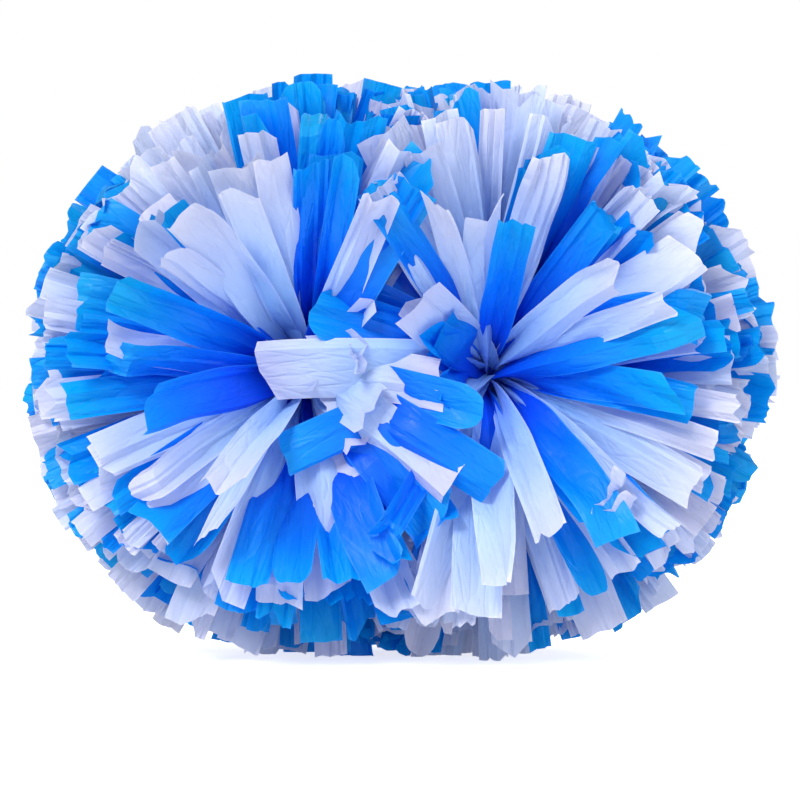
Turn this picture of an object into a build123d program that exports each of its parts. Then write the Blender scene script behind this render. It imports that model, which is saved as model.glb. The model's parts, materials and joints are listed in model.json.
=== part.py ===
"""Two-colour cheer pom pom with a baton handle, in millimetres.

The baton lies along X. A lobe of plastic film streamers is gathered round each end of it, and the
hand goes round the bare grip between the lobes. Z is up, the pom rests on the plane Z = 0, and the
origin is the middle of its footprint.
"""

import math
import os
import random

from build123d import *

# Overall sizes
streamer_reach = 152.5  # from the middle of a lobe to the longest streamer's tip
lobe_offset = 45.0  # from the middle of the baton to the middle of each lobe
settling = 5.0  # how far the lowest tips give way when the pom rests on them

# Baton
grip_radius = 11.0
grip_bore_radius = 8.5
grip_rib_height = 1.0
grip_rib_width = 3.0
grip_rib_pitch = 9.0
grip_bare_end = 6.0  # smooth tube between the last rib and the hand stop, at least
hand_stop_lip = 2.65  # how far it stands above the winding
hand_stop_width = 2.5
plug_flange_lip = 1.65
plug_flange_width = 3.0
plug_spigot_length = 13.0
plug_spigot_wall = 2.0
plug_barb_height = 0.25
plug_barb_width = 2.0

# Film wound round each end of the baton, and what holds it there
header_width = 15.0  # unslit edge of every sheet
header_wind = 2.3  # all twelve headers wound on top of each other
tape_thickness = 0.5
tape_margin = 0.75  # header left bare at each end of the tape
tie_width = 4.8
tie_thickness = 1.2
tie_head_width = 8.0
tie_head_height = 4.4
tie_head_length = 6.6
seat_gap = 0.05  # all round, between a piece and the one it is slipped over
spigot_gap = 0.05  # between the plug's barbs and the bore

# The bunched roots, a shell of crumpled film that the streamers spring from
bunch_clearance = 1.28  # inside it, to the farthest corner of what it covers
bunch_wall = 1.0
bunch_mouth = 60.0  # half-angle of its opening for the baton, in degrees

# Streamers
film_thickness = 0.05
films_per_streamer = 3  # strips that lie together in one streamer
root_gap = 0.975  # between neighbours where they leave the bunch
tip_gap = 5.1  # between the widest neighbours' tips
tip_width_spread = 5.5  # from the narrowest tip to the widest
shortest_share = 0.955  # of the streamer reach
streamer_step = 11.5  # between neighbours, in degrees
streamer_rings = 9  # counted from the baton's end towards its middle
hand_way_spread = 20.0  # streamers this near straight back don't lean between the lobes
seed = 7

# Sheets
sheets_per_colour = 6  # wound on each end of the baton

# Sectors where blue streamers lie together, on the front and again on the back, in degrees: the
# sector's middle, counted from the right, its half-width, and how far its streamers lean from
# straight ahead, from the least to the most
blue_sectors = {
    "left": [
        (15, 6, 45, 90),
        (33, 9, 0, 28),
        (52, 7, 50, 90),
        (60, 6, 10, 42),
        (90, 11, 0, 60),
        (96, 8, 60, 90),
        (145, 8, 55, 90),
        (158, 6, 10, 60),
        (180, 11, 0, 45),
        (205, 7, 45, 90),
        (232, 13, 0, 45),
        (263, 8, 12, 75),
        (300, 7, 30, 80),
        (322, 9, 0, 22),
        (341, 6, 45, 90),
    ],
    "right": [
        (0, 11, 0, 40),
        (12, 6, 50, 90),
        (37, 9, 5, 90),
        (62, 5, 62, 90),
        (72, 7, 5, 60),
        (98, 8, 45, 90),
        (125, 7, 12, 50),
        (165, 12, 0, 22),
        (240, 10, 0, 32),
        (266, 7, 32, 85),
        (304, 8, 15, 80),
        (338, 6, 45, 90),
        (350, 5, 42, 75),
    ],
}
stray_blue = 1.25  # how much chance counts against the sectors, which count 1

sides = {"left": -1, "right": 1}
rest_height = streamer_reach - settling  # baton axis above the ground
half_tube = lobe_offset + header_width / 2
grip_half_length = half_tube - header_width - hand_stop_width
grip_rib_space = 2 * (grip_half_length - grip_bare_end) - grip_rib_width
grip_rib_count = 1 + int(grip_rib_space / grip_rib_pitch)
header_radius = grip_radius + seat_gap + header_wind
tape_radius = header_radius + seat_gap + tape_thickness
tie_radius = tape_radius + seat_gap + tie_thickness
hand_stop_radius = header_radius + hand_stop_lip
plug_flange_radius = header_radius + plug_flange_lip
farthest_corner = max(
    math.hypot(tape_radius + tie_head_height, tie_head_length / 2, tie_head_width / 2),
    math.hypot(hand_stop_radius, header_width / 2 + hand_stop_width),
    math.hypot(plug_flange_radius, header_width / 2 + plug_flange_width),
)
bunch_radius = farthest_corner + bunch_clearance + bunch_wall
root_width = bunch_radius * math.radians(streamer_step) - root_gap
tip_width_most = streamer_reach * math.radians(streamer_step) - tip_gap
tip_width_least = tip_width_most - tip_width_spread


def round_along_x(start, end, outer, inner=0.0):
    """A cylinder or sleeve about the baton's axis between two distances along it."""
    low, high = min(start, end), max(start, end)
    plane = Plane(origin=(low, 0, rest_height), z_dir=(1, 0, 0))
    face = Circle(outer) - Circle(inner) if inner else Circle(outer)
    return extrude(plane * face, amount=high - low)


def handle_tube():
    """Moulded tube with grip ribs in the middle and plain seats at both ends."""
    tube = round_along_x(-half_tube, half_tube, grip_radius)
    first = -grip_rib_pitch * (grip_rib_count - 1) / 2
    for number in range(grip_rib_count):
        middle = first + number * grip_rib_pitch
        rib = round_along_x(
            middle - grip_rib_width / 2,
            middle + grip_rib_width / 2,
            grip_radius + grip_rib_height,
        )
        tube += fillet(rib.edges().filter_by(GeomType.CIRCLE), grip_rib_height * 0.45)
    return tube - round_along_x(-half_tube, half_tube, grip_bore_radius)


def hand_stop(side):
    """Collar that keeps the hand off the film and stops the winding sliding inwards."""
    outer_face = half_tube - header_width
    collar = round_along_x(
        side * (outer_face - hand_stop_width), side * outer_face, hand_stop_radius
    )
    collar = fillet(collar.edges().filter_by(GeomType.CIRCLE), hand_stop_width * 0.3)
    bore = grip_radius + seat_gap
    return collar - round_along_x(0, side * half_tube, bore)


def header_roll(side):
    """The unslit edges of the sheets, wound round the end of the tube."""
    return round_along_x(
        side * (half_tube - header_width),
        side * half_tube,
        header_radius,
        grip_radius + seat_gap,
    )


def tape_wrap(side):
    """Adhesive tape over the wound headers."""
    return round_along_x(
        side * (half_tube - header_width + tape_margin),
        side * (half_tube - tape_margin),
        tape_radius,
        header_radius + seat_gap,
    )


def cable_tie(side):
    """Nylon tie pulled tight over the tape, with its locking head underneath."""
    strap = round_along_x(
        side * lobe_offset - tie_width / 2,
        side * lobe_offset + tie_width / 2,
        tie_radius,
        tape_radius + seat_gap,
    )
    head_middle = (side * lobe_offset, 0, rest_height - tape_radius - tie_head_height / 2)
    head = Pos(*head_middle) * Box(tie_head_width, tie_head_length, tie_head_height)
    head = fillet(head.edges().filter_by(Axis.Z), tie_head_length * 0.15)
    slot = Pos(*head_middle) * Box(
        tie_width * 0.8, tie_head_length, tie_thickness, align=(Align.CENTER, Align.CENTER, Align.MAX)
    )
    keep_off = round_along_x(
        side * lobe_offset - tie_head_width,
        side * lobe_offset + tie_head_width,
        tape_radius + seat_gap,
    )
    return strap + (head - slot - keep_off)


def end_plug(side):
    """Cap on the baton's end: a flange that holds the winding, and a barbed hollow spigot."""
    flange = round_along_x(
        side * half_tube, side * (half_tube + plug_flange_width), plug_flange_radius
    )
    rim = flange.edges().filter_by(GeomType.CIRCLE).sort_by(Axis.X)[0 if side < 0 else -1]
    flange = fillet(rim, plug_flange_width * 0.6)
    barb_radius = grip_bore_radius - spigot_gap
    core_radius = barb_radius - plug_barb_height
    spigot = round_along_x(side * half_tube, side * (half_tube - plug_spigot_length), core_radius)
    for share in (0.25, 0.5, 0.75):
        middle = half_tube - plug_spigot_length * share
        spigot += round_along_x(
            side * (middle - plug_barb_width / 2),
            side * (middle + plug_barb_width / 2),
            barb_radius,
        )
    hollow = round_along_x(
        side * half_tube,
        side * (half_tube - plug_spigot_length),
        core_radius - plug_spigot_wall,
    )
    return flange + (spigot - hollow)


def root_bunch(side):
    """The crumpled roots of all the streamers of one lobe, open towards the grip."""
    middle = (side * lobe_offset, 0, rest_height)
    shell = Pos(*middle) * (Sphere(bunch_radius) - Sphere(bunch_radius - bunch_wall))
    mouth = side * (lobe_offset - bunch_radius * math.cos(math.radians(bunch_mouth)))
    cut = Plane(origin=(mouth, 0, rest_height), z_dir=(side, 0, 0))
    return split(shell, bisect_by=cut, keep=Keep.TOP)


def streamer_places():
    """Every streamer of one lobe: polar angle, turn, tip width, reach and roll.

    The polar angle is from the baton's end and the turn is round the baton from straight down.
    The two halves, in front of the baton and behind it, mirror each other.
    """
    draw = random.Random(seed)
    places = []
    for ring in range(streamer_rings):
        polar = (ring + 0.5) * streamer_step
        count = round(360 * math.sin(math.radians(polar)) / streamer_step)
        shift = 0 if ring % 2 else 0.5
        for number in range(count // 2 + 1):
            turn = 360 * (number + shift) / count
            if turn > 180.001:
                continue
            width = draw.uniform(tip_width_least, tip_width_most)
            reach = streamer_reach * draw.uniform(shortest_share, 1)
            if polar < streamer_step or 80 < polar < 90:
                reach = streamer_reach
            roll = draw.uniform(-90, 90)
            places.append((polar, turn, width, reach, roll))
            if 0.001 < turn < 179.999:
                places.append((polar, -turn, width, reach, -roll))
    return places


def axes_at(side, polar, turn):
    """The streamer's own direction, and the two directions square to it, as vectors."""
    a, t = math.radians(polar), math.radians(turn)
    along = Vector(side * math.cos(a), math.sin(a) * math.sin(t), -math.sin(a) * math.cos(t))
    inward = Vector(-side * math.sin(a), math.cos(a) * math.sin(t), -math.cos(a) * math.cos(t))
    around = Vector(0, math.cos(t), math.sin(t))
    return along, inward, around


def leans_into_hand_way(along, side):
    """True for a streamer that would cross the hand's way in between the lobes at the back."""
    return along.X * side < 0 and along.get_angle(Vector(0, 1, 0)) < hand_way_spread


def streamer(side, polar, turn, width, reach, roll):
    """One flat streamer, narrow where it is gathered and square at its tip."""
    along, inward, around = axes_at(side, polar, turn)
    r = math.radians(roll)
    across = inward * math.cos(r) + around * math.sin(r)
    middle = Vector(side * lobe_offset, 0, rest_height)
    plane = Plane(origin=middle, x_dir=along, z_dir=along.cross(across))
    outline = Polygon(
        (bunch_radius, -root_width / 2),
        (reach, -width / 2),
        (reach, width / 2),
        (bunch_radius, root_width / 2),
        align=None,
    )
    thickness = film_thickness * films_per_streamer
    strip = extrude(plane * outline, amount=thickness / 2, both=True)
    lowest = strip.bounding_box().min.Z
    if lowest < 0:
        strip = split(strip, bisect_by=Plane.XY, keep=Keep.TOP)
    return strip.solids()[0]


def blueness(name, along, draw):
    """How blue a streamer's place is: chance, and 1 more in a blue sector."""
    clock = math.degrees(math.atan2(along.Z, along.X)) % 360
    lean = math.degrees(math.acos(abs(along.Y)))
    chance = draw.uniform(0, stray_blue)
    for middle, half_width, least, most in blue_sectors[name]:
        aside = abs((clock - middle + 180) % 360 - 180)
        if aside <= half_width and least <= lean <= most:
            return chance + 1
    return chance


def streamer_sheets(name):
    """The lobe's sheets, as lists of streamers: half of them blue, dealt round the lobe."""
    side = sides[name]
    draw = random.Random(seed + side)
    kept = []
    for place in streamer_places():
        along = axes_at(side, place[0], place[1])[0]
        if not leans_into_hand_way(along, side):
            kept.append((blueness(name, along, draw), place))
    kept.sort(key=lambda entry: entry[0])
    half = len(kept) // 2
    sheets = {}
    for colour, share in (("white", kept[:half]), ("blue", kept[half:])):
        in_turn = sorted((place for _, place in share), key=lambda place: (place[1], place[0]))
        for number in range(sheets_per_colour):
            own = in_turn[number::sheets_per_colour]
            node = f"{name}_{colour}_sheet_{number + 1}"
            sheets[node] = [streamer(side, *place) for place in own]
    return sheets


def build():
    """Every node's shape by its name."""
    nodes = {"handle_tube": handle_tube()}
    for name, side in sides.items():
        nodes[f"{name}_hand_stop"] = hand_stop(side)
        nodes[f"{name}_header_roll"] = header_roll(side)
        nodes[f"{name}_tape_wrap"] = tape_wrap(side)
        nodes[f"{name}_cable_tie"] = cable_tie(side)
        nodes[f"{name}_end_plug"] = end_plug(side)
        nodes[f"{name}_root_bunch"] = root_bunch(side)
        for node, strips in streamer_sheets(name).items():
            nodes[node] = Compound(children=strips, label=node)
    return nodes


os.makedirs("parts", exist_ok=True)
for node_name, shape in build().items():
    export_step(shape, f"parts/{node_name}.step")
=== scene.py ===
import json
import math
import random
from types import SimpleNamespace

import bmesh
import bpy
import numpy as np
from mathutils import Matrix, Vector


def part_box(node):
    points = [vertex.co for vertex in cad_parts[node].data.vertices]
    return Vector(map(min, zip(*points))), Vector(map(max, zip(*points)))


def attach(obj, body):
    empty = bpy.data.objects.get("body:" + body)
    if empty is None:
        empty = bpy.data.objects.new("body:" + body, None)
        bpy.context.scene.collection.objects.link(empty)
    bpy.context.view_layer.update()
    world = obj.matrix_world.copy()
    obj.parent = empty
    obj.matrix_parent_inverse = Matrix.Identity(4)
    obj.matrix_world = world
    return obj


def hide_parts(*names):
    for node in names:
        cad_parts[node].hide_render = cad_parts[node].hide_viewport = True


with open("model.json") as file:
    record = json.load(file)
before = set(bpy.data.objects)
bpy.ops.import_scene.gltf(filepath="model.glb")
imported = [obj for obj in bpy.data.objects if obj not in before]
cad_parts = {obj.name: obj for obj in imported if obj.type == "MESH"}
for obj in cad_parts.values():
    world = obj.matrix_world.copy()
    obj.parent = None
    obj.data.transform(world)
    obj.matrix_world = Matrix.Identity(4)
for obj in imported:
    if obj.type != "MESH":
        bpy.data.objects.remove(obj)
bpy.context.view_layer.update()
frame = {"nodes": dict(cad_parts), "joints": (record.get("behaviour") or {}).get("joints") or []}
nodes = frame["nodes"]
pivots = {j["child"]: Vector(j["pos_m"]) for j in frame["joints"]}
sides = {"left": -1, "right": 1}

# Camera: level with the baton, in front of the pom.
# A long lens from over a metre away, so both lobes are seen straight on.
focal_length = 135.0
view_width = 0.4138  # what the picture spans at the baton
view_target = Vector((0.0013, 0.0, 0.1325))
view_rise = math.radians(1.5)
camera = bpy.data.objects.new("camera", bpy.data.cameras.new("camera"))
bpy.context.scene.collection.objects.link(camera)
camera.data.lens = focal_length
distance = view_width * focal_length / camera.data.sensor_width
away = Vector((0.0, -math.cos(view_rise), math.sin(view_rise)))
camera.location = view_target + distance * away
camera.rotation_euler = away.to_track_quat("Z", "Y").to_euler()
bpy.context.scene.camera = camera

# Studio: a white floor and a white surround, so that the pom stands free.
# Large soft lights shine on it from the front left, the front right and behind.
floor_size = 12.0
surround_colour = (1.0, 1.0, 1.0, 1.0)
surround_strength = 0.46
floor_colour = (0.93, 0.93, 0.94, 1.0)
floor_glow = (0.2, 0.75)  # what it gives the pom, and what the camera sees
lights = [
    # name, power in watts, size, position
    ("key_light", 50.0, 0.9, (-0.9, -1.7, 1.5)),
    ("fill_light", 12.0, 1.6, (1.5, -1.4, 0.7)),
    ("back_light", 30.0, 1.4, (0.4, 1.7, 1.6)),
]
bpy.context.scene.view_settings.view_transform = "Standard"
world = bpy.data.worlds.new("studio")
world.use_nodes = True
surround = world.node_tree.nodes["Background"]
surround.inputs["Color"].default_value = surround_colour
seen_white = world.node_tree.nodes.new("ShaderNodeMapRange")
seen_white.inputs["To Min"].default_value = surround_strength
seen_white.inputs["To Max"].default_value = 1.0
ray = world.node_tree.nodes.new("ShaderNodeLightPath")
world.node_tree.links.new(ray.outputs["Is Camera Ray"], seen_white.inputs["Value"])
world.node_tree.links.new(seen_white.outputs["Result"], surround.inputs["Strength"])
bpy.context.scene.world = world
for light_name, power, light_size, place in lights:
    lamp = bpy.data.lights.new(light_name, "AREA")
    lamp.energy = power
    lamp.size = light_size
    light = bpy.data.objects.new(light_name, lamp)
    light.location = place
    light.rotation_euler = (light.location - view_target).to_track_quat("Z", "Y").to_euler()
    bpy.context.scene.collection.objects.link(light)

bm = bmesh.new()
bmesh.ops.create_grid(bm, x_segments=1, y_segments=1, size=floor_size / 2)
floor_mesh = bpy.data.meshes.new("floor")
bm.to_mesh(floor_mesh)
bm.free()
floor = bpy.data.objects.new("floor", floor_mesh)
bpy.context.scene.collection.objects.link(floor)
floor_paint = bpy.data.materials.new("floor_paint")
floor_paint.use_nodes = True
n, link = floor_paint.node_tree.nodes, floor_paint.node_tree.links.new
n["Principled BSDF"].inputs["Base Color"].default_value = floor_colour
n["Principled BSDF"].inputs["Roughness"].default_value = 0.7
n["Principled BSDF"].inputs["Emission Color"].default_value = floor_colour
ray, glow = n.new("ShaderNodeLightPath"), n.new("ShaderNodeMapRange")
glow.inputs["To Min"].default_value, glow.inputs["To Max"].default_value = floor_glow
link(ray.outputs["Is Camera Ray"], glow.inputs["Value"])
link(glow.outputs["Result"], n["Principled BSDF"].inputs["Emission Strength"])
floor_mesh.materials.append(floor_paint)


# Handle tube: the baton itself, a tube of pale plastic moulded with ribs where the hand grips it.
# Its ends are plain, because the sheets' headers are wound round them.
grain_scale = 900.0
cloud_scale = 40.0
gloss_spread = 0.08


def grain_group():
    """Node group: the fine grain and the faint cloudiness of a moulded surface."""
    tree = bpy.data.node_groups.new("moulded_grain", "ShaderNodeTree")
    for name, default in (("Grain", grain_scale), ("Cloud", cloud_scale)):
        socket = tree.interface.new_socket(name, in_out="INPUT", socket_type="NodeSocketFloat")
        socket.default_value = default
    tree.interface.new_socket("Height", in_out="OUTPUT", socket_type="NodeSocketFloat")
    tree.interface.new_socket("Cloudiness", in_out="OUTPUT", socket_type="NodeSocketFloat")
    n, link = tree.nodes, tree.links.new
    inside, out = n.new("NodeGroupInput"), n.new("NodeGroupOutput")
    place = n.new("ShaderNodeTexCoord")
    grain, cloud = n.new("ShaderNodeTexNoise"), n.new("ShaderNodeTexNoise")
    grain.inputs["Detail"].default_value = 2.0
    cloud.inputs["Detail"].default_value = 4.0
    for texture, scale, result in ((grain, "Grain", "Height"), (cloud, "Cloud", "Cloudiness")):
        link(place.outputs["Object"], texture.inputs["Vector"])
        link(inside.outputs[scale], texture.inputs["Scale"])
        link(texture.outputs["Fac"], out.inputs[result])
    return tree


moulded_grain = grain_group()


def moulded(name, light, dark, roughness, depth):
    """Moulded plastic: two close shades clouded together over a fine grain."""
    material = bpy.data.materials.new(name)
    material.use_nodes = True
    n, link = material.node_tree.nodes, material.node_tree.links.new
    shader = n["Principled BSDF"]
    surface = n.new("ShaderNodeGroup")
    surface.node_tree = moulded_grain
    shade = n.new("ShaderNodeMix")
    shade.data_type = "RGBA"
    shade.inputs[6].default_value = (*light, 1.0)
    shade.inputs[7].default_value = (*dark, 1.0)
    link(surface.outputs["Cloudiness"], shade.inputs[0])
    link(shade.outputs[2], shader.inputs["Base Color"])
    rough = n.new("ShaderNodeMapRange")
    rough.inputs["To Min"].default_value = roughness - gloss_spread
    rough.inputs["To Max"].default_value = roughness + gloss_spread
    link(surface.outputs["Height"], rough.inputs["Value"])
    link(rough.outputs["Result"], shader.inputs["Roughness"])
    bump = n.new("ShaderNodeBump")
    bump.inputs["Strength"].default_value = 0.3
    bump.inputs["Distance"].default_value = depth
    link(surface.outputs["Height"], bump.inputs["Height"])
    link(bump.outputs["Normal"], shader.inputs["Normal"])
    return material


def finish_node(node, material):
    """Gives a CAD node its material."""
    nodes[node].data.materials.clear()
    nodes[node].data.materials.append(material)


grip_plastic = moulded("satin_grip_plastic", (0.80, 0.82, 0.85), (0.68, 0.70, 0.74), 0.45, 0.0002)
finish_node("handle_tube", grip_plastic)

# Hand stops: collars of the same plastic, polished, pushed on to the tube at each end of the grip.
# They keep the hand off the film and hold the winding in from that side.
collar_plastic = moulded("glossy_collar_plastic", (0.78, 0.80, 0.84), (0.70, 0.72, 0.77), 0.2, 0.00005)
for side in sides:
    finish_node(f"{side}_hand_stop", collar_plastic)

# End plugs: flanged caps of the collars' plastic, whose barbed spigots press into the tube's bore.
# The flange stops the winding from sliding off the end of the baton.
for side in sides:
    finish_node(f"{side}_end_plug", collar_plastic)

# Cable ties: natural nylon straps, pulled tight over the tape through a moulded locking head.
# The strap has fine teeth across its length.
tie_nylon = moulded("natural_nylon", (0.78, 0.77, 0.70), (0.70, 0.69, 0.60), 0.38, 0.00005)
tooth_pitch = 0.0012
n, link = tie_nylon.node_tree.nodes, tie_nylon.node_tree.links.new
teeth = n.new("ShaderNodeTexWave")
teeth.bands_direction = "DIAGONAL"
teeth.inputs["Scale"].default_value = 1 / tooth_pitch / math.pi
place = n.new("ShaderNodeTexCoord")
link(place.outputs["Object"], teeth.inputs["Vector"])
toothed = n.new("ShaderNodeBump")
toothed.inputs["Strength"].default_value = 0.5
toothed.inputs["Distance"].default_value = 0.0002
link(teeth.outputs["Fac"], toothed.inputs["Height"])
link(n["Bump"].outputs["Normal"], toothed.inputs["Normal"])
link(toothed.outputs["Normal"], n["Principled BSDF"].inputs["Normal"])
for side in sides:
    finish_node(f"{side}_cable_tie", tie_nylon)

# Header rolls: the unslit edges of the sheets, wound round the tube one on top of another.
# The winding shows as thin blue and white rings on its ends.
film_layer = 0.0004  # blue and white turns together
baton_height = pivots["left_streamers"].z
wound_film = bpy.data.materials.new("wound_film_layers")
wound_film.use_nodes = True
n, link = wound_film.node_tree.nodes, wound_film.node_tree.links.new
place, centred = n.new("ShaderNodeTexCoord"), n.new("ShaderNodeMapping")
centred.inputs["Location"].default_value = (0.0, 0.0, -baton_height)
rings, shade = n.new("ShaderNodeTexWave"), n.new("ShaderNodeMix")
rings.wave_type = "RINGS"
rings.rings_direction = "X"
rings.inputs["Scale"].default_value = 1 / film_layer / math.pi
rings.inputs["Distortion"].default_value = 1.5
shade.data_type = "RGBA"
shade.inputs[6].default_value = (0.002, 0.16, 0.90, 1.0)
shade.inputs[7].default_value = (0.62, 0.72, 0.92, 1.0)
ridges = n.new("ShaderNodeBump")
ridges.inputs["Strength"].default_value = 0.5
ridges.inputs["Distance"].default_value = 0.0002
link(place.outputs["Object"], centred.inputs["Vector"])
link(centred.outputs["Vector"], rings.inputs["Vector"])
link(rings.outputs["Fac"], shade.inputs[0])
link(shade.outputs[2], n["Principled BSDF"].inputs["Base Color"])
link(rings.outputs["Fac"], ridges.inputs["Height"])
link(ridges.outputs["Normal"], n["Principled BSDF"].inputs["Normal"])
n["Principled BSDF"].inputs["Roughness"].default_value = 0.32
for side in sides:
    finish_node(f"{side}_header_roll", wound_film)

# Tape wraps: clear glossy tape wound over the headers, so that they can't unroll.
# The blue and the white under it show through as a pale mixed blue.
clear_tape = moulded("clear_tape", (0.52, 0.66, 0.90), (0.34, 0.52, 0.86), 0.14, 0.0004)
for side in sides:
    finish_node(f"{side}_tape_wrap", clear_tape)


# Film: thin polythene sheet, blue or white, a little translucent, and creased all over.
# Its fine creases run mostly along a strip. Where many films lie together it looks deeper: the colour is
# painted darker and bluer towards the gathered root, as painted shade of the crowded layers and painted
# blue light passed on from the blue films.
def crease_group():
    """Node group: creases of crumpled film in the strip's own UV, in metres."""
    tree = bpy.data.node_groups.new("film_creases", "ShaderNodeTree")
    tree.interface.new_socket("Along", in_out="INPUT", socket_type="NodeSocketFloat")
    tree.interface.new_socket("Across", in_out="INPUT", socket_type="NodeSocketFloat")
    tree.interface.new_socket("Height", in_out="OUTPUT", socket_type="NodeSocketFloat")
    tree.interface.new_socket("Tone", in_out="OUTPUT", socket_type="NodeSocketFloat")
    n, link = tree.nodes, tree.links.new
    inside, out = n.new("NodeGroupInput"), n.new("NodeGroupOutput")
    uv = n.new("ShaderNodeUVMap")
    uv.uv_map = "film"
    split = n.new("ShaderNodeSeparateXYZ")
    link(uv.outputs["UV"], split.inputs["Vector"])
    across, along = n.new("ShaderNodeMath"), n.new("ShaderNodeMath")
    across.operation = along.operation = "MULTIPLY"
    link(split.outputs["X"], across.inputs[0])
    link(inside.outputs["Across"], across.inputs[1])
    link(split.outputs["Y"], along.inputs[0])
    link(inside.outputs["Along"], along.inputs[1])
    join = n.new("ShaderNodeCombineXYZ")
    link(across.outputs[0], join.inputs["X"])
    link(along.outputs[0], join.inputs["Y"])
    crumple = n.new("ShaderNodeTexVoronoi")
    crumple.feature = "DISTANCE_TO_EDGE"
    crumple.inputs["Scale"].default_value = 1.0
    crumple.inputs["Randomness"].default_value = 1.0
    fine = n.new("ShaderNodeTexNoise")
    fine.inputs["Scale"].default_value = 1.6
    fine.inputs["Detail"].default_value = 3.0
    fine.inputs["Distortion"].default_value = 0.8
    link(join.outputs[0], crumple.inputs["Vector"])
    link(join.outputs[0], fine.inputs["Vector"])
    sharp = n.new("ShaderNodeMapRange")
    sharp.inputs["From Max"].default_value = 0.12
    link(crumple.outputs["Distance"], sharp.inputs["Value"])
    both = n.new("ShaderNodeMath")
    both.operation = "MULTIPLY_ADD"
    both.inputs[1].default_value = 0.25
    link(sharp.outputs["Result"], both.inputs[0])
    link(fine.outputs["Fac"], both.inputs[2])
    link(both.outputs[0], out.inputs["Height"])
    link(fine.outputs["Fac"], out.inputs["Tone"])
    return tree


film_creases = crease_group()
film_colours_with_painted_light = {
    # colours from the gathered root to the tip, darkest at the root as painted shade of the crowded
    # layers (on the white film also painted blue light from the blue film), then the painted highlight of
    # the cut edge, and the colour of light showing through
    "blue": (
        ((0.0, 0.012, 0.42), (0.0, 0.09, 0.88), (0.0, 0.235, 0.90), (0.0, 0.40, 0.70)),
        (0.05, 0.42, 0.95),
        (0.0, 0.25, 1.0),
    ),
    "white": (
        ((0.12, 0.32, 0.90), (0.32, 0.58, 0.98), (0.54, 0.69, 0.95), (0.70, 0.67, 0.79)),
        (0.90, 0.85, 0.90),
        (0.66, 0.78, 0.98),
    ),
}
film_stops = (0.0, 0.28, 0.62, 1.0)
film_see_through = 0.35
film_shine = 0.28
film_roughness = (0.34, 0.55)
creases_per_metre = (38.0, 150.0)  # met going along a strip, and going across it
crease_depth = 0.0012
# Painted highlight: a lighter band this wide along each strip's cut edges and tip, where light glows
# through the rim.
highlight_band_width = 0.0007
edge_highlight_share = 0.6  # how far the painted edge highlight goes at the very edge


def film_material(name, colours, edge_highlight_colour, through):
    """Film with creases, painted shade darkening each strip towards its root, a painted highlight along
    its cut edges, and light showing through it.
    """
    material = bpy.data.materials.new(name)
    material.use_nodes = True
    n, link = material.node_tree.nodes, material.node_tree.links.new
    shader, output = n["Principled BSDF"], n["Material Output"]
    shader.inputs["Specular IOR Level"].default_value = film_shine
    creases = n.new("ShaderNodeGroup")
    creases.node_tree = film_creases
    creases.inputs["Along"].default_value, creases.inputs["Across"].default_value = creases_per_metre
    shade_and_tone, edge = n.new("ShaderNodeAttribute"), n.new("ShaderNodeAttribute")
    shade_and_tone.attribute_name = "shade_and_tone"
    edge.attribute_name = "edge"
    ramp = n.new("ShaderNodeValToRGB")
    while len(ramp.color_ramp.elements) < len(film_stops):
        ramp.color_ramp.elements.new(0.5)
    for element, stop, colour in zip(ramp.color_ramp.elements, film_stops, colours):
        element.position = stop
        element.color = (*colour, 1.0)
    link(shade_and_tone.outputs["Fac"], ramp.inputs["Fac"])
    # Painted highlight along the cut edges, strongest at the very edge.
    thin = n.new("ShaderNodeMapRange")
    thin.inputs["From Max"].default_value = highlight_band_width
    thin.inputs["To Min"].default_value = edge_highlight_share
    thin.inputs["To Max"].default_value = 0.0
    link(edge.outputs["Fac"], thin.inputs["Value"])
    colour = n.new("ShaderNodeMix")
    colour.data_type = "RGBA"
    colour.inputs[7].default_value = (*edge_highlight_colour, 1.0)
    link(thin.outputs["Result"], colour.inputs[0])
    link(ramp.outputs["Color"], colour.inputs[6])
    rough = n.new("ShaderNodeMapRange")
    rough.inputs["From Min"].default_value = 0.3
    rough.inputs["From Max"].default_value = 0.7
    rough.inputs["To Min"].default_value = film_roughness[0]
    rough.inputs["To Max"].default_value = film_roughness[1]
    link(creases.outputs["Tone"], rough.inputs["Value"])
    bump = n.new("ShaderNodeBump")
    bump.inputs["Strength"].default_value = 0.8
    bump.inputs["Distance"].default_value = crease_depth
    link(creases.outputs["Height"], bump.inputs["Height"])
    link(colour.outputs[2], shader.inputs["Base Color"])
    link(rough.outputs["Result"], shader.inputs["Roughness"])
    link(bump.outputs["Normal"], shader.inputs["Normal"])
    glow = n.new("ShaderNodeBsdfTranslucent")
    glow.inputs["Color"].default_value = (*through, 1.0)
    link(bump.outputs["Normal"], glow.inputs["Normal"])
    both = n.new("ShaderNodeMixShader")
    both.inputs["Fac"].default_value = film_see_through
    link(shader.outputs[0], both.inputs[1])
    link(glow.outputs[0], both.inputs[2])
    link(both.outputs[0], output.inputs["Surface"])
    return material


film = {colour: film_material(f"{colour}_film", *film_colours_with_painted_light[colour]) for colour in film_colours_with_painted_light}


def film_piece(name, bm, at_vertex, creased_at):
    """A mesh object of film from a bmesh, with its UV and attributes given for each vertex."""
    mesh = bpy.data.meshes.new(name)
    bm.to_mesh(mesh)
    bm.free()
    corner_vertex = np.zeros(len(mesh.loops), int)
    mesh.loops.foreach_get("vertex_index", corner_vertex)
    layer = mesh.uv_layers.new(name="film")
    layer.uv.foreach_set("vector", at_vertex["film"][corner_vertex].ravel())
    for attribute in ("shade_and_tone", "edge"):
        values = mesh.attributes.new(attribute, "FLOAT", "POINT").data
        values.foreach_set("value", at_vertex[attribute])
    mesh.shade_smooth()
    mesh.set_sharp_from_angle(angle=creased_at)
    piece = bpy.data.objects.new(name, mesh)
    bpy.context.scene.collection.objects.link(piece)
    return piece


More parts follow.
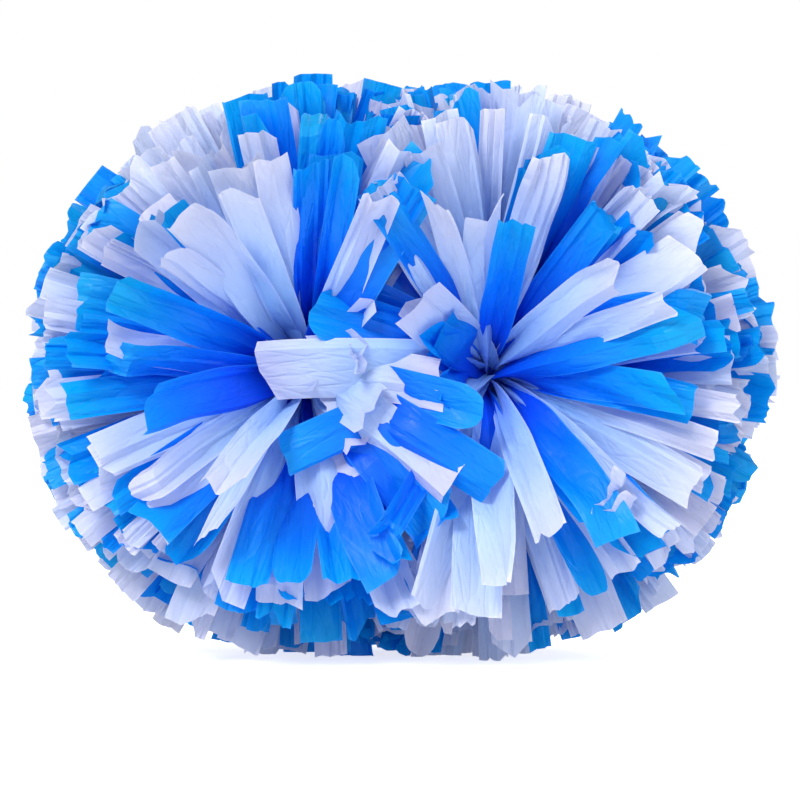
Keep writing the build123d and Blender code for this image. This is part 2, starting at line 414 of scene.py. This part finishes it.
# Root bunches: where the slit strips leave the winding, their roots are crushed into close pleats
# that fold over the cap at the baton's end and stay open round the tube on the grip's side.
bunch_pleats = 64
bunch_rows = 20
pleat_depth = 0.0011
bunch_waviness = 0.0006
bunch_skin = 0.0007  # the crests lie this far inside the bunch's outside
bunch_mouth = math.radians(60)  # half-angle of its opening for the baton
bunch_trim = 0.98  # the film ends a little short of the mouth
bunch_room = 0.0021  # from its outside in to the corners of the collar, the cap and the tie's head
bunch_creased_at = math.radians(20)


def root_bunch(side):
    """The pleated ball of film over one winding."""
    low, high = (Vector(corner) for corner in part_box(f"{side}_root_bunch"))
    middle = pivots[f"{side}_streamers"]
    outer = (high.y - low.y) / 2
    draw = random.Random(31 + sides[side])
    bm = bmesh.new()
    bmesh.ops.create_uvsphere(bm, u_segments=2 * bunch_pleats, v_segments=bunch_rows, radius=1.0)
    bmesh.ops.rotate(bm, verts=bm.verts[:], matrix=Matrix.Rotation(math.radians(90), 3, "Y"))
    mouth = -sides[side] * math.cos(bunch_mouth) * bunch_trim
    bmesh.ops.bisect_plane(
        bm,
        geom=bm.verts[:] + bm.edges[:] + bm.faces[:],
        plane_co=(mouth, 0, 0),
        plane_no=(-sides[side], 0, 0),
        clear_outer=True,
    )
    shifts = [draw.uniform(0.3, 1.0) for _ in range(2 * bunch_pleats)]
    shades_and_tones, flat = [], []
    for vert in bm.verts:
        way = vert.co.normalized()
        turn = math.atan2(way.z, way.y) / math.tau * 2 * bunch_pleats
        number = round(turn) % (2 * bunch_pleats)
        off_pole = min(1.0, math.hypot(way.y, way.z) * 2)
        inward = pleat_depth * off_pole * shifts[number] * (2 if number % 2 else 0.4)
        wave = bunch_waviness * math.sin(9 * way.x + 1.3 * turn / 8)
        radius = outer - bunch_skin - inward + wave * off_pole
        vert.co = middle + way * max(radius, outer - bunch_room)
        # Painted shade: pleats pushed deep into the bunch take the darkest root colour, the crests a
        # lighter one that differs at random.
        shades_and_tones.append(0.05 if number % 2 else 0.22 + 0.2 * draw.random())
        flat.append((turn / (2 * bunch_pleats) * math.tau * outer, way.x * outer))
    at_vertex = {
        "film": np.array(flat),
        "shade_and_tone": np.array(shades_and_tones),
        "edge": np.ones(len(shades_and_tones)),
    }
    piece = film_piece(f"{side}_root_bunch_film", bm, at_vertex, bunch_creased_at)
    piece.data.materials.append(film["blue"])
    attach(piece, f"{side}_streamers")
    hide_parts(f"{side}_root_bunch")


for side in sides:
    root_bunch(side)

# Sheets: six blue and six white to a lobe, slit into strips as far as the header wound on the baton.
# Each strip is gathered into pleats at its root, opens out to its width and bends of its own accord.
# A strip's directions and shares run from its root, at 0, to its tip, at 1.
strip_length = 0.1525
strip_width = (0.015, 0.031)
strip_share = (0.92, 1.02)  # of the streamer's length
strip_root = 0.0195  # from the middle of the lobe, just inside the bunch
strips_per_streamer = 3
columns, rows = 12, 26
way_scatter = 0.09  # of a strip's direction about its streamer's
root_scatter = 0.02
root_forward = 1.5  # how strongly the roots of the front and back strips point ahead
root_inward = 0.24  # roots stay this far round from the collar, so that the lobe can sway
root_opened = 0.34  # where a strip has come round from its root's direction to its own
root_fold = math.radians(80)
front_folds = (1, 4, math.radians(6), math.radians(50))  # fewest, most, gentlest, sharpest
rim_folds = (3, 7, math.radians(18), math.radians(52))
parting = {-1: (26, 72), 1: (20, 42)}  # degrees that front and back strips lie back from the core
forward = {"blue": 0, "white": 4}  # degrees less, because the white sheets are wound on last
meeting = 0.42  # how far a strip can lean inwards before the other lobe holds it
spreading = 0.32  # how much further inwards the strips beside the other lobe are pulled
spread_from, spread_over = -0.35, 0.5  # the lean where that begins, and how much more brings it in full
hand_way_height = 0.42  # at the back, only strips that point this much up or down close the middle
front_reach = 80  # degrees from straight ahead, past which a strip is no front strip at all
longest_reach = strip_length * 1.005
sag = 0.05  # how much a standing strip droops towards its tip
gentle_bend = 0.14  # radians at most
curled_share, tip_curl = 0.5, 0.55  # of the strips, and how far in radians
folded_share, tip_fold = 0.08, (0.9, 2.0)  # of all strips, whose tip is folded over instead
slight_twist = 0.16
twisted_share, full_twist = 0.04, (1.0, 2.0)
dent_size, crease_size = (0.2, 0.8), (0.2, 0.9)  # in millimetres
rounded_tips, slanting_tips, ragged_tips, pointed_tips = 0.07, 0.32, 0.6, 0.78  # running shares
# Painted shade along each strip: its ramp position runs from the dark root shade at 0 up to 0.92 at the
# tip, plus a random shift for each strip.
shade_reach = 0.92
tone_scatter = 0.08

# Fallen strips: some that pointed straight ahead have folded over and lie across the middle.
# The lowest lie deepest, and the strips under them are crushed short.
fallen_from = 40  # degrees from straight ahead
fallen_share = 0.14
fallen_clock = {-1: (-84, 3), 1: (-96, 34)}  # degrees up from straight across, lowest strip first
fallen_rise = (27, 38)  # degrees from straight ahead before they fold over
fallen_lean = (74, 92)
fallen_fold = {-1: (0.42, 0.58), 1: (0.30, 0.40)}  # where along it the lowest and the highest fold
fallen_bend = 0.2  # the length of the fold
fallen_width = (0.022, 0.034)
fallen_length = (0.72, 0.98)
fallen_sag = (0.1, 0.3)
crushed_share = (0.5, 0.64)  # of its length is left standing, of a strip under the fallen ones
crushed_forward, crushed_inward, crushed_height = 0.72, 0.1, 0.5  # how such a strip points

# Neighbouring strips: film slips on film, so strips that would cross slide one behind the other.
# They do it a little at a time, until all lie clear or there is no more room.
strip_spread = math.radians(8.5)  # strips nearer than this to each other's side are parted
strip_apart = math.radians(3.6)
lean_limits = (math.radians(24), math.radians(93))  # of a standing strip, from straight ahead
settling_rounds = 40
settling_step = 0.25
floor_gap = 0.0006  # the lowest tips lie this far above the floor
creased_at = math.radians(13)  # folds sharper than this show as creases
strip_seed = 200


def streamers_of(node, middle):
    """The directions of a sheet's streamers from the lobe's middle, sorted round the baton."""
    bm = bmesh.new()
    bm.from_mesh(nodes[node].data)
    bmesh.ops.remove_doubles(bm, verts=bm.verts[:], dist=1e-6)
    found, seen = [], set()
    for start in bm.verts:
        if start in seen:
            continue
        island, todo = [], [start]
        seen.add(start)
        while todo:
            vert = todo.pop()
            island.append(vert.co - middle)
            for edge in vert.link_edges:
                other = edge.other_vert(vert)
                if other not in seen:
                    seen.add(other)
                    todo.append(other)
        far = max(p.length for p in island)
        tip = sum((p for p in island if p.length > 0.8 * far), Vector())
        found.append((tip.normalized(), far))
    bm.free()
    found.sort(key=lambda item: (round(math.atan2(item[0].y, -item[0].z), 4), item[0].x))
    return found


def laid_back(way, side, colour, draw):
    """A strip's direction once the pom is fluffed, off the core and up to the other lobe.

    It comes with whether the strip has fallen instead.
    """
    way = (way + Vector([draw.gauss(0, way_scatter) for _ in range(3)])).normalized()
    faces = -1 if way.y < 0 else 1
    axis = Vector((0, faces, 0))
    lean = way.angle(axis)
    if faces < 0 and math.degrees(lean) < fallen_from and draw.random() < fallen_share:
        return way, True
    back = math.radians(draw.uniform(*parting[faces]) - forward[colour])
    wanted = back + lean * (1 - back / (math.pi / 2))
    aside = (way - axis * way.dot(axis)).normalized()
    way = axis * math.cos(wanted) + aside * math.sin(wanted)
    inward = -side * way.x
    if faces < 0 or abs(way.z) > hand_way_height:
        inward += spreading * max(0.0, min(1.0, (inward - spread_from) / spread_over))
    if inward > 0:
        inward = meeting * math.tanh(inward / meeting)
        way.y = faces * math.sqrt(max(0.0, 1 - inward ** 2 - way.z ** 2))
    way.x = -side * inward
    return way.normalized(), False


def pleats(s, opened, style, draw):
    """Zigzag section of a strip: offsets across and out of its plane, as shares of its width.

    s runs from 0 to 1 across, opened from 0 at the gathered root to 1 where the strip is open.
    """
    fewest, most, gentlest, sharpest = style
    folds = sorted(draw.sample(range(1, columns), draw.randint(fewest, most)))
    edges = np.array([0] + folds + [columns]) / columns
    across, out = np.zeros_like(s), np.zeros_like(s)
    total, height = np.zeros_like(s), np.zeros_like(s)
    sign = draw.choice((-1, 1))
    for number, (low, high) in enumerate(zip(edges[:-1], edges[1:])):
        fold = root_fold + (draw.uniform(gentlest, sharpest) - root_fold) * opened
        run = np.clip(s - low, 0, high - low)
        across += run * np.cos(fold)
        total += (high - low) * np.cos(fold)
        step = sign * (-1) ** number * np.sin(fold)
        out += run * step
        height += (high - low) * step
    return across - total / 2, out - height / 2


def zigzag(x):
    """Straight up and down between -1 and 1."""
    return 2 * np.abs(2 * (x - np.floor(x + 0.5))) - 1


def crumpled(s, t, draw):
    """Broad dents and sharp slanting creases, as an offset out of the strip's plane in metres."""
    offset = np.zeros_like(s)
    for _ in range(3):
        along, across = draw.uniform(0.8, 2.6), draw.uniform(-1.0, 1.0)
        size = draw.uniform(*dent_size) * 0.001
        offset += size * np.sin(math.tau * (along * t + across * s + draw.random()))
    for _ in range(4):
        along, across = draw.uniform(0.8, 3.0), draw.uniform(-1.6, 1.6)
        size = draw.uniform(*crease_size) * 0.001
        offset += size * zigzag(along * t + across * s + draw.random())
    return offset * np.clip(t * 2.2, 0, 1)


def tip_cut(s, draw):
    """How much shorter each place across a strip is: its tip is cut square, rounded, slanting or torn."""
    short = draw.uniform(-0.03, 0.03) * (s - 0.5)
    kind = draw.random()
    if kind < rounded_tips:
        short += 0.09 * (2 * s - 1) ** 4
    elif kind < slanting_tips:
        corner = s if draw.random() < 0.5 else 1 - s
        short += draw.uniform(0.03, 0.12) * np.clip((corner - draw.uniform(0.3, 0.8)) / 0.5, 0, 1)
    elif kind < ragged_tips:
        short += draw.uniform(0.005, 0.03) * (zigzag(draw.uniform(0.7, 2.2) * s + draw.random()) + 1) / 2
    elif kind < pointed_tips:
        point = draw.uniform(0.15, 0.85)
        peak = np.clip(1 - np.abs(s - point) / draw.uniform(0.3, 0.7), 0, 1)
        short += draw.uniform(0.03, 0.09) * (peak if draw.random() < 0.6 else 1 - peak)
    return np.clip(short, -0.02, 0.2)


def across_rows(values, at):
    """Rows of vectors read between their steps, at positions from 0 to 1."""
    steps = np.linspace(0, 1, len(values))
    return np.column_stack([np.interp(at, steps, values[:, k]) for k in range(3)])


def unit(vectors):
    """Rows of vectors made of length one."""
    return vectors / np.linalg.norm(vectors, axis=1)[:, None]


def strip_root_way(strip, middle, ahead, stands_out, draw):
    """The direction in which a strip leaves the bunch."""
    way = strip.way
    start = way + Vector([draw.gauss(0, root_scatter) for _ in range(3)])
    if strip.fold:
        rise = math.radians(draw.uniform(*fallen_rise))
        start = ahead + (way - ahead * way.dot(ahead)) * math.tan(rise)
    else:
        start += ahead * root_forward * stands_out
    start.normalize()
    inward = -math.copysign(1, middle.x) * start.x
    if inward > root_inward and not strip.fold:
        start.x *= root_inward / inward
        start.normalize()
    return start


def strip_across(strip, ahead, stands_out, draw):
    """The direction across a strip: its face looks ahead, more or less."""
    way = strip.way
    facing = ahead - way * ahead.dot(way)
    if facing.length < 0.2:
        facing = way.orthogonal()
    across = way.cross(facing).normalized()
    turned = 0.05 if strip.fold else 0.12 + 0.2 * (1 - stands_out)
    facing = facing.normalized() + across * draw.gauss(0, turned)
    return np.array(way.cross(facing).normalized())


def strip_bend(steps, fold, stands_out, draw):
    """How far a strip has bent at each step along it, in radians: evenly, in waves and at its tip."""
    bend = draw.gauss(0, 0.2 - 0.12 * stands_out) * (steps - 0.3) * (0.3 if fold else 1)
    wave = draw.uniform(0, gentle_bend)
    bend += wave * np.sin(math.tau * (draw.uniform(0.8, 1.8) * steps + draw.random()))
    curled = draw.random()
    if curled < folded_share:
        bend += draw.choice((-1, 1)) * draw.uniform(*tip_fold) * np.clip((steps - 0.84) / 0.08, 0, 1)
    elif curled < curled_share:
        bend += draw.gauss(0, tip_curl) * np.clip((steps - 0.65) / 0.35, 0, 1) ** 2
    return bend


def strip_line(strip, middle, ahead, stands_out, draw):
    """A strip's middle line from root to tip, the way it faces along it, and the direction across it."""
    start = strip_root_way(strip, middle, ahead, stands_out, draw)
    across = strip_across(strip, ahead, stands_out, draw)
    steps = np.linspace(0, 1, rows + 1)
    if strip.fold:
        opening = np.clip((steps - strip.fold + fallen_bend / 2) / fallen_bend, 0, 1)
    else:
        opening = np.clip(steps / root_opened, 0, 1) ** 0.8
    bend = strip_bend(steps, strip.fold, stands_out, draw)
    lines = unit(np.outer(1 - opening, start) + np.outer(opening, strip.way))
    normals = unit(np.cross(across, lines))
    lines = unit(lines * np.cos(bend)[:, None] - normals * np.sin(bend)[:, None])
    drop = draw.uniform(*fallen_sag) if strip.fold else sag
    lines = unit(lines - np.outer(drop * steps ** 2, (0, 0, 1)))
    normals = unit(np.cross(across, lines))
    path = np.cumsum(lines, axis=0) * (strip.length - strip_root) / rows
    path = np.array(middle) + strip_root * np.array(start) + np.vstack([np.zeros(3), path[:-1]])
    return path, normals, across


def strip_shape(s, t, middle, strip, draw):
    """Where the points of one strip lie: s across it and t along it, both from 0 to 1."""
    ahead = Vector((0, -1 if strip.way.y < 0 or strip.fold else 1, 0))
    stands_out = max(0.0, 1 - math.degrees(strip.way.angle(ahead)) / front_reach)
    path, normals, across = strip_line(strip, middle, ahead, stands_out, draw)
    at = t * (1 - tip_cut(s, draw))
    line, normal = across_rows(path, at), unit(across_rows(normals, at))
    if draw.random() < 1 - twisted_share:
        twist = draw.gauss(0, slight_twist)
    else:
        twist = draw.choice((-1, 1)) * draw.uniform(*full_twist)
    turn = twist * (at - 0.5)
    w = np.outer(np.cos(turn), across) + normal * np.sin(turn)[:, None]
    n = -np.outer(np.sin(turn), across) + normal * np.cos(turn)[:, None]
    opened = np.clip((at - 0.02) / draw.uniform(0.35, 0.55), 0, 1) ** 0.7
    style = front_folds if strip.fold or draw.random() < 2.0 * stands_out else rim_folds
    sideways, out = pleats(s, opened, style, draw)
    lift = out * strip.width + crumpled(s, at, draw)
    points = line + w * (sideways * strip.width)[:, None] + n * lift[:, None]
    away_from = points - np.array(middle)
    reach = np.linalg.norm(away_from, axis=1)
    points = np.array(middle) + away_from * np.minimum(1, longest_reach / reach)[:, None]
    points[:, 2] = np.maximum(points[:, 2], floor_gap)
    return points


def settle(strips):
    """Strips that would pass through each other lie one behind the other instead, by their lean."""
    ways = np.array([strip.way for strip in strips])
    faces = np.where(ways[:, 1] < 0, -1.0, 1.0)
    lean = np.arccos(np.clip(faces * ways[:, 1], -1, 1))
    clock = np.arctan2(ways[:, 2], ways[:, 0])
    free = np.array([not strip.fold for strip in strips])
    same = (faces[:, None] == faces[None, :]) & free[:, None] & free[None, :]
    np.fill_diagonal(same, False)
    aside = np.abs((clock[:, None] - clock[None, :] + math.pi) % math.tau - math.pi)
    for _ in range(settling_rounds):
        beside = same & (aside * np.sin(lean)[:, None] < strip_spread)
        apart = lean[:, None] - lean[None, :]
        short = np.where(beside, np.clip(strip_apart - np.abs(apart), 0, None), 0)
        lean += settling_step * (short * np.where(apart >= 0, 1, -1)).sum(axis=1)
        lean = np.clip(lean, *lean_limits)
    for number, strip in enumerate(strips):
        if free[number]:
            flat = math.sin(lean[number])
            strip.way = Vector((
                flat * math.cos(clock[number]),
                faces[number] * math.cos(lean[number]),
                flat * math.sin(clock[number]),
            ))


def fold_over(fallen_over, side, draw):
    """Lays the fallen strips out like a fan across the middle, the lowest deepest."""
    draw.shuffle(fallen_over)
    for number, strip in enumerate(fallen_over):
        share = (number + 0.5) / len(fallen_over)
        clock, lean = np.interp(share, (0, 1), fallen_clock[side]), draw.uniform(*fallen_lean)
        clock, lean = math.radians(clock + draw.gauss(0, 3)), math.radians(lean)
        aside = Vector((-side * math.cos(clock), 0, math.sin(clock)))
        strip.way = aside * math.sin(lean) + Vector((0, -math.cos(lean), 0))
        strip.fold = np.interp(share, (0, 1), fallen_fold[side])


def lobe_strips(side, draw):
    """Every strip of a lobe: its sheet's node, direction, width, length and where it folds over, or 0."""
    strips = []
    middle = pivots[f"{side}_streamers"]
    for node in sorted(n for n in nodes if n.startswith(side) and "_sheet_" in n):
        colour = "blue" if "_blue_" in node else "white"
        for way, far in streamers_of(node, middle):
            for _ in range(strips_per_streamer):
                final, fallen = laid_back(way, sides[side], colour, draw)
                share = draw.uniform(*(fallen_length if fallen else strip_share))
                strips.append(SimpleNamespace(
                    node=node,
                    way=final,
                    length=min(far, strip_length) * share,
                    width=draw.uniform(*(fallen_width if fallen else strip_width)),
                    fold=int(fallen),
                ))
    fold_over([strip for strip in strips if strip.fold], sides[side], draw)
    settle(strips)
    for strip in strips:
        under = -strip.way.y > crushed_forward and -sides[side] * strip.way.x > crushed_inward
        if under and abs(strip.way.z) < crushed_height and not strip.fold:
            strip.length *= draw.uniform(*crushed_share)
    return strips


def film_sheet(node, side, strips, draw):
    """One slit sheet: all its strips as one piece, in place of the sheet's CAD node."""
    body = f"{side}_streamers"
    colour = "blue" if "_blue_" in node else "white"
    bm = bmesh.new()
    flat, shades_and_tones, edges = [], [], []
    for strip in strips:
        made = bmesh.ops.create_grid(bm, x_segments=columns, y_segments=rows, size=0.5)["verts"]
        s = np.array([v.co.x for v in made]) + 0.5
        t = np.array([v.co.y for v in made]) + 0.5
        for vert, point in zip(made, strip_shape(s, t, pivots[body], strip, draw)):
            vert.co = point
        start = (draw.uniform(0, 5), draw.uniform(0, 5))  # so that no two strips' creases are alike
        flat.append(np.column_stack([s * strip.width + start[0], t * strip.length + start[1]]))
        # Painted shade: darkest at the root, lighter towards the tip, shifted at random for each strip.
        shades_and_tones.append(np.clip(t * shade_reach + draw.gauss(0, tone_scatter), 0, 1))
        # Distance to the nearest cut edge, for the painted edge highlight.
        edges.append(np.minimum((0.5 - np.abs(s - 0.5)) * strip.width, (1 - t) * strip.length))
    at_vertex = {
        "film": np.concatenate(flat),
        "shade_and_tone": np.concatenate(shades_and_tones),
        "edge": np.concatenate(edges),
    }
    piece = film_piece(f"{node}_film", bm, at_vertex, creased_at)
    piece.data.materials.append(film[colour])
    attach(piece, body)
    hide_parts(node)


for side in sides:
    draw = random.Random(strip_seed + sides[side])
    strips = lobe_strips(side, draw)
    for node in sorted({strip.node for strip in strips}):
        film_sheet(node, side, [strip for strip in strips if strip.node == node], draw)
